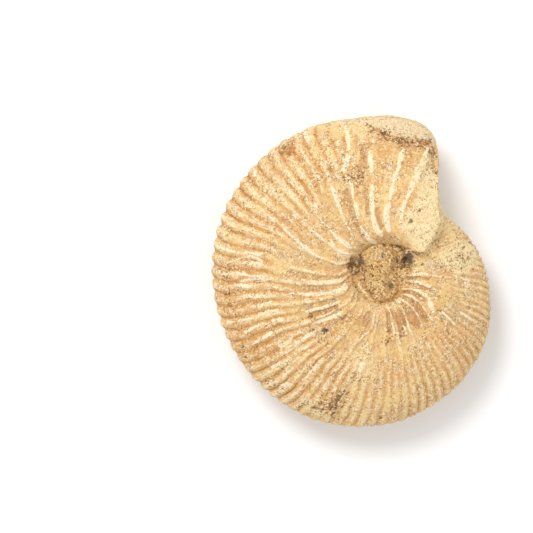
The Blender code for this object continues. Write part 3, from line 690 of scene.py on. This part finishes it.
def smooth_step(value):
    """Rises smoothly from 0 to 1 as the value does."""
    value = np.clip(value, 0, 1)
    return value * value * (3 - 2 * value)


def between(ends, value):
    """Rises smoothly from 0 at the first end to 1 at the second."""
    return smooth_step((value - ends[0]) / (ends[1] - ends[0]))


def read_stations(stations, place):
    """Value of the smooth curve through the stations, level past its ends."""
    at, value = np.array(stations, float).T
    before = np.maximum(np.arange(len(at)) - 1, 0)
    after = np.minimum(np.arange(len(at)) + 1, len(at) - 1)
    slope = (value[after] - value[before]) / (at[after] - at[before])
    place = np.clip(place, at[0], at[-1])
    left = np.clip(np.searchsorted(at, place, side="right") - 1, 0, len(at) - 2)
    gap = at[left + 1] - at[left]
    t = (place - at[left]) / gap
    rise = value[left + 1] - value[left]
    bend = (1 - t) * (slope[left] * gap - rise) - t * (slope[left + 1] * gap - rise)
    return value[left] + rise * t + t * (1 - t) * bend


def to_plan(radius, angle):
    turn = np.radians(angle)
    return radius * np.cos(turn), radius * np.sin(turn)


def mound(centre, radius, x, y):
    """A smooth mound, 1 at its centre and 0 at its edge."""
    return smooth_step(1 - np.hypot(x - centre[0], y - centre[1]) / radius)


def grain(places, size, octaves, seed):
    """Smooth random values, about -1 to 1, whose lumps are this many millimetres across."""
    shift = Vector([seed * step for step in SEED_SHIFT])
    fade, step = FINER_STRENGTH, FINER_STEP
    points = (places / size).reshape(-1, 3)
    values = [noise.fractal(Vector(p) + shift, fade, step, octaves) for p in points]
    return np.array(values).reshape(places.shape[:-1])


# Shape of the coil.


def foot_radius(angle):
    """Distance from the coil axis to the foot of the flat spot, a circle off that axis."""
    turn = np.radians(angle)
    across = COIL_AXIS_X * np.sin(turn)
    circle = np.sqrt(FLAT_FOOT_RADIUS**2 - across**2) - COIL_AXIS_X * np.cos(turn)
    lumps = sum(s * np.sin(n * turn + math.radians(t)) for s, n, t in FLAT_LUMPS)
    return circle * (1 + lumps)


def rib_angle(rib):
    return RIB_ZERO + RIB_SPACING * rib - RIB_TIGHTENING * rib * rib


def rib_shift(outer, share):
    """How far a rib has turned, at this share, from its angle on the outer flank."""
    lean = read_stations(LEAN, outer) * LEAN_GAIN
    lean *= np.maximum(0, 1 - share / LEAN_SHARE) ** LEAN_POWER
    hook = HOOK_DEGREES * np.maximum(0, 1 - share / HOOK_SHARE) ** 2
    sweep = SWEEP_DEGREES * np.maximum(0, (share - SWEEP_SHARE) / (1 - SWEEP_SHARE)) ** 2
    return lean - hook - sweep


def rib_stray(outer, share):
    """How far the ribs stray, in ribs, at this angle on the outer flank and this share."""
    stations = np.array(STRAY)
    stray = [np.zeros_like(outer)]
    stray += [read_stations(stations[:, (0, column)], outer) for column in (1, 2, 3)]
    place = np.interp(share, STRAY_SHARES, range(len(STRAY_SHARES)))
    near = [np.maximum(0, 1 - abs(place - step)) for step in range(len(STRAY_SHARES))]
    return sum(weight * value for weight, value in zip(near, stray))


def rib_at(angle, share):
    """Number of the rib, with its fraction, that crosses this place."""
    outer = angle
    for _ in range(FIT_ROUNDS):
        outer = (outer + angle - rib_shift(outer, share)) / 2
    half = RIB_SPACING / 2
    root = np.sqrt(half * half - RIB_TIGHTENING * (outer - RIB_ZERO))
    return (half - root) / RIB_TIGHTENING - rib_stray(outer, share)


def column_angle(rib, share):
    """The rib line, turned at both ends of the whorl to run along the aperture."""
    line = rib_angle(rib) + rib_shift(rib_angle(rib), share)
    first = read_stations(APERTURE, share) + rib_angle(rib) - rib_angle(FIRST_RIB - 0.5)
    last = read_stations(COVERED_WHORL, share) + rib_angle(rib) - rib_angle(LAST_RIB + 0.5)
    to_first = 1 - smooth_step((rib - FIRST_RIB + 0.5) / APERTURE_RIBS)
    to_last = 1 - smooth_step((LAST_RIB + 0.5 - rib) / COVERED_RIBS)
    return line + to_first * (first - line) + to_last * (last - line)


def flank_height(share, angle):
    """Height of the rib crests above the middle plane."""
    thickness = read_stations(HALF_THICKNESS, angle)
    wall = (thickness - PLUG_RISE) * np.exp(-share / WALL_SHARE)
    return thickness * (1 - share**FLANK_POWER) ** VENTER_POWER - wall


def even_shares(start, count):
    """Shares from start to the venter, evenly spaced along the section of the whorl."""
    share = np.linspace(start, 1, SECTION_STEPS)
    typical_angle, typical_width = 200, 25.5
    height = flank_height(share, typical_angle)
    steps = np.hypot(np.diff(share * typical_width), np.diff(height))
    length = np.concatenate([[0], np.cumsum(steps)])
    return np.interp(np.linspace(0, length[-1], count), length, share)


def whorl_point(share, side, angle):
    """Point on the whorl over its rib crests, above (side 1) or below the middle plane."""
    seam, venter = read_stations(SEAM, angle), read_stations(VENTER, angle)
    x, y = to_plan(seam + share * (venter - seam), angle)
    height = flank_height(share, angle)
    if side > 0:
        near_venter = smooth_step((share - WORN_VENTER_SHARE) / (1 - WORN_VENTER_SHARE) * 2)
        facet = near_venter * (1 - share) / (1 - WORN_VENTER_SHARE)
        height = height - WORN_VENTER_DEPTH * facet * (1 - between(WORN_VENTER_ENDS, angle))
        height = height + PATCH_RISE * mound(PATCH_CENTRE, PATCH_RADIUS, x, y)
        height = height - HOLE_DEPTH * mound(HOLE_CENTRE, HOLE_RADIUS, x, y)
    return np.stack([x, y, side * height], -1)


def plug_point(share_of_plug, rib):
    """Point on the plug of matrix, on the way from its centre to the seam."""
    angle = column_angle(rib, np.zeros_like(rib))
    seam = np.stack(to_plan(read_stations(SEAM, angle), angle), -1)
    x, y = (PLUG_CENTRE + share_of_plug[..., None] * (seam - PLUG_CENTRE)).transpose(2, 0, 1)
    height = PLUG_RISE + PLUG_DOME * (1 - share_of_plug**2)
    height = height - HOLE_DEPTH * mound(HOLE_CENTRE, HOLE_RADIUS, x, y)
    return np.stack([x, y, height], -1)


def lower_share(share_of_way, rib):
    """Share and angle of a point between the foot of the flat spot and the venter."""
    angle = column_angle(rib, np.full_like(rib, 0.5))
    for _ in range(FIT_ROUNDS):
        foot, venter = foot_radius(angle), read_stations(VENTER, angle)
        seam = read_stations(SEAM, angle)
        share = (foot + share_of_way * (venter - foot) - seam) / (venter - seam)
        angle = (angle + column_angle(rib, share)) / 2
    return share, angle


def flat_point(ring, rib):
    """Point on the flat spot, at this many times the radius of its level part."""
    share, angle = lower_share(np.zeros_like(rib), rib)
    foot = whorl_point(share, -1, angle)
    inwards = FLAT_RADIUS / FLAT_FOOT_RADIUS
    x = (foot[..., 0] + COIL_AXIS_X) * inwards * ring - COIL_AXIS_X
    y = foot[..., 1] * inwards * ring
    lift = np.maximum(0, ring - 1) * FLAT_EDGE_LIFT
    return np.stack([x, y, lift - MID_PLANE_HEIGHT], -1)


def coil_points():
    """Every row and column of points over the smooth coil, each with its share, angle and
    rib number, and 1 where it lies on the whorl or 0 where it lies on matrix."""
    rib = np.linspace(FIRST_RIB - 0.5, LAST_RIB + 0.5, RIB_COLUMNS)
    rows = []

    def add_rows(places, share, angle, on_whorl):
        rib_number = rib_at(angle, share)
        values = share, angle, rib_number, on_whorl
        filled = [np.broadcast_to(value, places.shape[:-1]) for value in values]
        rows.append(np.concatenate([places, np.stack(filled, -1)], -1))

    plug = np.arange(PLUG_ROWS) / PLUG_ROWS
    plug, ribs = np.meshgrid(plug, rib, indexing="ij")
    seam = np.zeros_like(ribs)
    add_rows(plug_point(plug, ribs), seam, column_angle(ribs, seam), 0)

    share, ribs = np.meshgrid(even_shares(0, UPPER_ROWS), rib, indexing="ij")
    angle = column_angle(ribs, share)
    add_rows(whorl_point(share, 1, angle), share, angle, 1)

    foot_share = 0.14
    way = (even_shares(foot_share, LOWER_ROWS + 1)[:-1] - foot_share) / (1 - foot_share)
    way, ribs = np.meshgrid(way[::-1], rib, indexing="ij")
    share, angle = lower_share(way, ribs)
    add_rows(whorl_point(share, -1, angle), share, angle, 1)

    rings, ribs = np.meshgrid((*FLAT_RINGS, 0), rib, indexing="ij")
    seam = np.zeros_like(ribs)
    add_rows(flat_point(rings, ribs), seam, column_angle(ribs, seam), 0)
    return np.concatenate(rows)


def close_face(grid):
    """Columns across the broken face, from the covered whorl up to the aperture's edge."""
    t = (np.arange(FACE_COLUMNS) + 1) / (FACE_COLUMNS + 1)
    t = t[None, :, None]
    face = grid[:, -1:] * (1 - t) + grid[:, :1] * t
    outer = between(FACE_BOW_SHARES, grid[:, :1, SHARE])
    face[..., 0] -= FACE_BOW * outer * (4 * t * (1 - t))[..., 0]
    near = t < 0.5
    face[..., SHARE:] = np.where(near, grid[:, -1:, SHARE:], grid[:, :1, SHARE:])
    face[..., ON_WHORL] = 0
    return np.concatenate([grid, face], 1)


# Relief.


def primary_ribs():
    """Numbers of the secondary ribs that the primary ribs run into."""
    steps = range(PRIMARY_FIRST, PRIMARY_LAST + 1)
    return [round(PRIMARY_ZERO + (PRIMARY_SPACING + PRIMARY_WIDENING * k) * k) for k in steps]


def patches(spots, x, y):
    """How far each point lies in any of the round patches (x, y, radius, strength)."""
    return np.max([s * mound((cx, cy), r, x, y) for cx, cy, r, s in spots], axis=0)


def on_paths(paths, x, y):
    """How far each point lies in any of the paths: 1 in the middle half, 0.5 at the half
    width and 0 at one and a half of it."""
    most = np.zeros_like(x)
    for path in paths:
        for (ax, ay, a_width), (bx, by, b_width) in zip(path[:-1], path[1:]):
            run = (bx - ax) ** 2 + (by - ay) ** 2
            t = np.clip(((x - ax) * (bx - ax) + (y - ay) * (by - ay)) / run, 0, 1)
            away = np.hypot(x - ax - t * (bx - ax), y - ay - t * (by - ay))
            width = a_width + t * (b_width - a_width)
            most = np.maximum(most, smooth_step(1.5 - away / width))
    return most


def signed_from(rib, numbers):
    """How far, in ribs, each point lies from the nearest of these ribs."""
    nearest = np.argmin([abs(rib - number) for number in numbers], axis=0)
    return rib - np.array(numbers)[nearest]


def disc(centre, radius, rim, x, y):
    """A level disc, 1 inside and falling to 0 across its rim."""
    return 1 - between((radius - rim, radius + rim), np.hypot(x - centre[0], y - centre[1]))


def umbilicus_height(x, y, angle):
    """The raised disc of matrix on the plug, the knob of the inner whorl above it and the
    bank at the foot of the wall."""
    height = DISC_RISE * disc(DISC_CENTRE, DISC_RADIUS, DISC_RIM, x, y)
    height += KNOB_RISE * disc(KNOB_CENTRE, KNOB_RADIUS, KNOB_RIM, x, y)
    bank = BANK_RISE * between(BANK_REACH, np.hypot(x, y) - read_stations(SEAM, angle))
    return height + bank * between(BANK_START, angle) * (1 - between(BANK_END, angle))


def rib_strength(share, angle, on_whorl):
    """How much is left of the ribs: none on matrix, on the seam or on the worn venter."""
    kept = on_whorl * np.minimum(1, share / RIB_START_SHARE) * read_stations(RIB_STRENGTH, angle)
    kept *= np.where(share < SMOOTH_LOBE_SHARE, between(SMOOTH_LOBE_ENDS, angle), 1)
    worn_venter = between(WORN_VENTER_ENDS, angle)
    return kept * np.where(share > WORN_VENTER_SHARE, worn_venter, 1)


def carve(mesh):
    """Cuts the ribs, the wear and the pits into the smooth coil and notes on each point
    what the stone's finish needs."""
    share, angle, rib, on_whorl = [read_note(mesh, name) for name in PLACE_NOTES]
    for name in PLACE_NOTES:
        mesh.attributes.remove(mesh.attributes[name])
    places = read_vectors(mesh.vertices, "co")
    normals = read_vectors(mesh.vertex_normals, "vector")
    x, y, z = places.T
    lumps = {name: grain(places, *made) for name, made in LUMPS.items()}
    uneven = {name: mean + stray * lumps[lump] for name, (mean, stray, lump) in UNEVEN.items()}

    upper = np.clip(z / UPPER_FADE, 0, 1)
    ragged = x + RAGGED_EDGE * lumps["ragged_x"], y + RAGGED_EDGE * lumps["ragged_y"]
    past_seam = np.hypot(x, y) - read_stations(SEAM, angle)
    in_umbilicus = upper * (1 - between(UMBILICUS_EDGE, past_seam))
    matrix_side = on_whorl < 0.5

    # Ribs.
    chamber = CHAMBER_REACH * (1 - between(CHAMBER_ENDS, angle))
    past_change = share - chamber - CHANGE_SHARE
    strength = rib_strength(share, angle, on_whorl) * uneven["ribs"]
    strength *= 1 - patches(WORN_PATCHES, *ragged) * upper
    primary_part = strength * (1 - smooth_step(past_change / PRIMARY_FADE))
    primary_part *= 1 - EARLY_LOSS * upper * between(EARLY_ENDS, angle)
    primary_part *= 1 - LATE_LOSS * upper * (1 - between(LATE_ENDS, angle))
    secondary_part = strength * smooth_step(past_change / SECONDARY_RISE)
    from_primary = signed_from(rib, primary_ribs())
    wobbly = abs(from_primary + PRIMARY_WOBBLE * lumps["wobble"])
    primary = 1 - between((PRIMARY_CREST, PRIMARY_FOOT), wobbly)
    secondary = sum(
        part * (1 - between((crest, foot), abs(rib - np.round(rib))))
        for part, crest, foot in SECONDARY_SECTION
    )
    depth = primary_part * PRIMARY_DEPTH * (1 - primary)
    depth += secondary_part * SECONDARY_DEPTH * (1 - secondary)

    # The worn venter by the aperture and the pitted band beside it.
    worn_edge = np.hypot(x, y) - read_stations(WORN_EDGE, angle)
    by_aperture = upper * (1 - between(WORN_ENDS, angle)) * on_whorl
    worn = by_aperture * between(WORN_FADE, worn_edge + WORN_RAGGED * lumps["medium"])
    narrow, wide = PITTED_REACHES
    reach = narrow + (wide - narrow) * between(PITTED_WIDENS, angle)
    pitted = by_aperture * smooth_step((worn_edge + reach) / (reach - PITTED_FADE)) * (1 - worn)
    pitted *= 1 - between(PITTED_ENDS, angle)
    depth += pitted * uneven["pitted"]

    # Lumps, pits, ridges and hollows.
    rough, plug_rough, face_rough = (
        sum(deep * lumps[name] for name, deep in relief.items())
        for relief in (STONE_RELIEF, PLUG_RELIEF, FACE_RELIEF)
    )
    broken = matrix_side * (1 - in_umbilicus) * between(OFF_TABLE, z + MID_PLANE_HEIGHT)
    depth += rough + in_umbilicus * (plug_rough - umbilicus_height(x, y, angle))
    depth += PIT_DEPTH * patches(PITS, x, y) * upper + broken * face_rough
    ridge, round_ridge, hollow_shade = (
        upper * on_paths(paths, x, y) for paths in (PALE_RIDGES, ROUND_RIDGES, HOLLOWS)
    )
    depth += HOLLOW_SINK * hollow_shade - PALE_RISE * ridge - ROUND_RISE * round_ridge
    places -= normals * depth[:, None]
    places[:, 2] = np.maximum(places[:, 2], -MID_PLANE_HEIGHT)
    mesh.vertices.foreach_set("co", places.ravel())

    # What the finish follows.
    patch = {name: patches(spots, *ragged) * upper for name, spots in NOTED_PATCHES.items()}
    matrix = np.maximum(patch["matrix"], matrix_side * uneven["face_matrix"])
    specks = np.maximum(np.maximum(patch["specks"], pitted), PLUG_SPECKS * in_umbilicus)
    seams = upper * on_paths(DARK_SEAMS, *ragged) * uneven["seams"]
    # Pale on the ridges: rubbed stone, and on the rounder ones partly a painted highlight.
    pale = np.maximum(ridge * uneven["ridges"], ROUND_RIDGE_PALE_AND_HIGHLIGHT * round_ridge)
    pores = np.maximum(PLUG_PORES, disc(DISC_CENTRE, DISC_RADIUS, PORES_RIM, *ragged))
    notes = patch | {
        "rib": rib,
        "along_rib": np.hypot(x, y) - RIM_TURN * abs(z),
        "from_primary": from_primary * np.radians(RIB_SPACING) * np.hypot(x, y),
        "primary": primary_part,
        "secondary": secondary_part,
        "rim": secondary_part * between(RIM_SHARES, share),
        # The floor between primary ribs, browned partly as painted shade.
        "hollow_shade": primary_part * (1 - primary),
        "plug": in_umbilicus,
        "matrix": matrix * (1 - in_umbilicus),
        "worn": worn,
        "specks": specks - MATRIX_CLEAN * matrix * (1 - specks),
        "pits": np.maximum(patch["pits"], seams),
        "pale": np.maximum(pale, patch["pale"]) * (1 - hollow_shade),
        # The carved hollows are browned too, partly as painted shade.
        "brown": np.maximum(hollow_shade, patch["brown"]),
        "porous": in_umbilicus * pores,
    }
    for name in FINISH_NOTES:
        note(mesh, name, notes[name])
    mesh.update()


# Assembly.


def read_vectors(items, field):
    """Three numbers for each of the items."""
    values = np.empty(len(items) * 3)
    items.foreach_get(field, values)
    return values.reshape(-1, 3)


def note(mesh, name, values):
    """Keeps one number for each point under a name that the material reads."""
    attribute = mesh.attributes.new(name, "FLOAT", "POINT")
    attribute.data.foreach_set("value", np.asarray(values, np.float32))


def read_note(mesh, name):
    values = np.empty(len(mesh.vertices), np.float32)
    mesh.attributes[name].data.foreach_get("value", values)
    return values


def roll_up(grid):
    """A flat sheet with one vertex for each point is laid round the coil and closed along
    its joint and at the middle of both flanks."""
    rows, columns = grid.shape[:2]
    bpy.ops.object.select_all(action="DESELECT")
    bpy.ops.mesh.primitive_grid_add(x_subdivisions=columns, y_subdivisions=rows - 1, size=2)
    sheet = bpy.context.object
    sheet.name = "ammonite_stone"
    x, y, _ = read_vectors(sheet.data.vertices, "co").T
    column = np.round((x + 1) / 2 * columns).astype(int) % columns
    row = np.round((1 - y) / 2 * (rows - 1)).astype(int)
    points = grid[row, column]
    sheet.data.vertices.foreach_set("co", points[:, :3].ravel())
    for name, values in zip(PLACE_NOTES, points.T[SHARE:]):
        note(sheet.data, name, values)
    bpy.ops.object.mode_set(mode="EDIT")
    bpy.ops.mesh.select_all(action="SELECT")
    bpy.ops.mesh.remove_doubles(threshold=JOINT_GAP)
    bpy.ops.mesh.normals_make_consistent(inside=False)
    bpy.ops.object.mode_set(mode="OBJECT")
    return sheet


def model_stone():
    stone = roll_up(close_face(coil_points()))
    mesh = stone.data
    carve(mesh)
    places = read_vectors(mesh.vertices, "co") + (COIL_AXIS_X, 0, MID_PLANE_HEIGHT)
    mesh.vertices.foreach_set("co", (places * MM).ravel())
    mesh.update()
    bpy.ops.object.shade_smooth()
    return stone


# Finishes.


def colour(hex_code):
    """Linear colour from an sRGB hex code."""
    values = [int(hex_code[i : i + 2], 16) / 255 for i in (1, 3, 5)]
    linear = [v / 12.92 if v <= 0.04045 else ((v + 0.055) / 1.055) ** 2.4 for v in values]
    return (*linear, 1)


def add_node(tree, kind, inputs=None, output=0, **settings):
    """Adds a node with its settings and gives back one of its outputs. Inputs are numbers,
    colours or other nodes' outputs."""
    made = tree.nodes.new("ShaderNode" + kind)
    for name, value in settings.items():
        setattr(made, name, value)
    for socket, value in (inputs or {}).items():
        if isinstance(value, bpy.types.NodeSocket):
            tree.links.new(value, made.inputs[socket])
        else:
            made.inputs[socket].default_value = value
    return made.outputs[output]


def limestone():
    """Fossil limestone, the natural cast of a shell, weathered free and worn since: a matt chalky
    surface, rubbed pale on the crests and stained ochre in the furrows, with a painted highlight
    on the crests and painted shade in the furrows and hollows."""
    material = bpy.data.materials.new("limestone")
    material.use_nodes = True
    tree = material.node_tree
    shader = tree.nodes["Principled BSDF"]
    place = add_node(tree, "TexCoord", output="Object")
    values = {}
    for name in FINISH_NOTES:
        values[name] = add_node(tree, "Attribute", attribute_name=name, output="Fac")
    for name, (size, detail, roughness) in PATTERNS.items():
        inputs = {"Vector": place, "Scale": 1 / (size * MM), "Detail": detail}
        inputs |= {"Roughness": roughness, "Distortion": PATTERN_TWIST}
        values[name] = add_node(tree, "TexNoise", inputs)
    crystals = {"Vector": place, "Scale": 1 / (CRYSTAL_SIZE * MM)}
    values["crystals"] = add_node(tree, "TexVoronoi", crystals, output="Color")
    for name, (follows, low, high, least) in FIRM_PATTERNS.items():
        inputs = {"Value": values[follows], 1: low, 2: high, 3: least}
        values[name] = add_node(tree, "MapRange", inputs, interpolation_type="SMOOTHSTEP")

    # Fibres that run along the ribs, from the rib number and the distance along the rib.
    across = add_node(tree, "Math", {0: values["rib"], 1: FIBRES_ACROSS}, operation="MULTIPLY")
    lengthwise = {0: values["along_rib"], 1: FIBRES_ALONG}
    lengthwise = add_node(tree, "Math", lengthwise, operation="MULTIPLY")
    way = add_node(tree, "CombineXYZ", {0: across, 1: lengthwise})
    fibres = {"Vector": way, "Scale": 1, "Detail": 4, "Roughness": 0.6}
    values["fibres"] = add_node(tree, "TexNoise", fibres)
    raised = {0: values["fibres"], 1: values["secondary"]}
    values["raised_fibres"] = add_node(tree, "Math", raised, operation="MULTIPLY")

    for name, added, times, to in SUMS:
        inputs = {0: values[added], 1: times, 2: values[to]}
        values[name] = add_node(tree, "Math", inputs, operation="MULTIPLY_ADD")

    # The distance from the nearest crest in ribs, with the crest moved toward the lit side for
    # its painted highlight, and from a primary crest in millimetres.
    crest = add_node(tree, "Math", {0: values["crest"], 1: LIT_SIDE_SHIFT}, operation="ADD")
    values["from_crest"] = add_node(tree, "Math", {0: crest, 1: 0.5}, operation="PINGPONG")
    crest = add_node(tree, "Math", {0: values["primary_crest"], 1: 0.5}, operation="SUBTRACT")
    values["from_primary"] = add_node(tree, "Math", {0: crest}, operation="ABSOLUTE")

    undyed = {0: values["ochre"], 1: -DYED_LOSS, 2: 1}
    undyed = add_node(tree, "Math", undyed, operation="MULTIPLY_ADD")
    rubbed = {0: values["rubbed"], 1: undyed}
    values["rubbed"] = add_node(tree, "Math", rubbed, operation="MULTIPLY")
    pores = {0: values["pores"], 6: colour(PLUG_BROWN), 7: colour(PLUG_TAN)}
    values["plug_pores"] = add_node(tree, "Mix", pores, 2, data_type="RGBA")

    base = colour(TAN)
    for strength, kept_to, ink, *follows in LAYERS:
        mask = strength
        if follows:
            name, low, high = follows
            mask = {"Value": values[name], 1: low, 2: high, 4: strength}
            mask = add_node(tree, "MapRange", mask, interpolation_type="SMOOTHSTEP")
        for name in kept_to:
            mask = add_node(tree, "Math", {0: mask, 1: values[name]}, operation="MULTIPLY")
        ink = values[ink] if ink in values else colour(ink)
        base = add_node(tree, "Mix", {0: mask, 6: base, 7: ink}, 2, data_type="RGBA")
    tree.links.new(base, shader.inputs["Base Color"])

    bump = {"Height": values["rough"], "Distance": GRAIN_DEPTH * MM}
    tree.links.new(add_node(tree, "Bump", bump), shader.inputs["Normal"])
    shader.inputs["Roughness"].default_value = STONE_ROUGHNESS
    shader.inputs["IOR"].default_value = STONE_IOR
    return material


def white_board():
    """White laminated board, smooth and plain: an even pale ground."""
    material = bpy.data.materials.new("white_board")
    material.use_nodes = True
    shader = material.node_tree.nodes["Principled BSDF"]
    shader.inputs["Base Color"].default_value = colour(BOARD_WHITE)
    shader.inputs["Roughness"].default_value = BOARD_ROUGHNESS
    return material


# Studio.


def set_studio():
    bpy.ops.object.select_all(action="DESELECT")
    bpy.ops.mesh.primitive_plane_add(size=TABLE_SIZE, location=(0, 0, 0))
    table = bpy.context.object
    table.name = "table"
    table.data.materials.append(white_board())

    world = bpy.data.worlds.new("studio")
    bpy.context.scene.world = world
    world.use_nodes = True
    room = world.node_tree.nodes["Background"]
    room.inputs["Color"].default_value = (1, 1, 1, 1)
    room.inputs["Strength"].default_value = ROOM_LIGHT

    bpy.ops.object.light_add(type="AREA", location=KEY_PLACE)
    lamp = bpy.context.object
    lamp.data.shape = "DISK"
    lamp.data.size = KEY_SIZE
    lamp.data.energy = KEY_WATTS
    lamp.rotation_euler = (-Vector(KEY_PLACE)).to_track_quat("-Z", "Y").to_euler()

    bpy.ops.object.camera_add(location=CAMERA_PLACE, rotation=(0, 0, 0))
    camera = bpy.context.object
    camera.data.lens = CAMERA_LENS
    camera.data.sensor_width = CAMERA_SENSOR
    bpy.context.scene.camera = camera
    bpy.context.scene.view_settings.view_transform = "Standard"


stone = model_stone()
stone.data.materials.append(limestone())
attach(stone, "root")
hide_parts("ammonite")
set_studio()
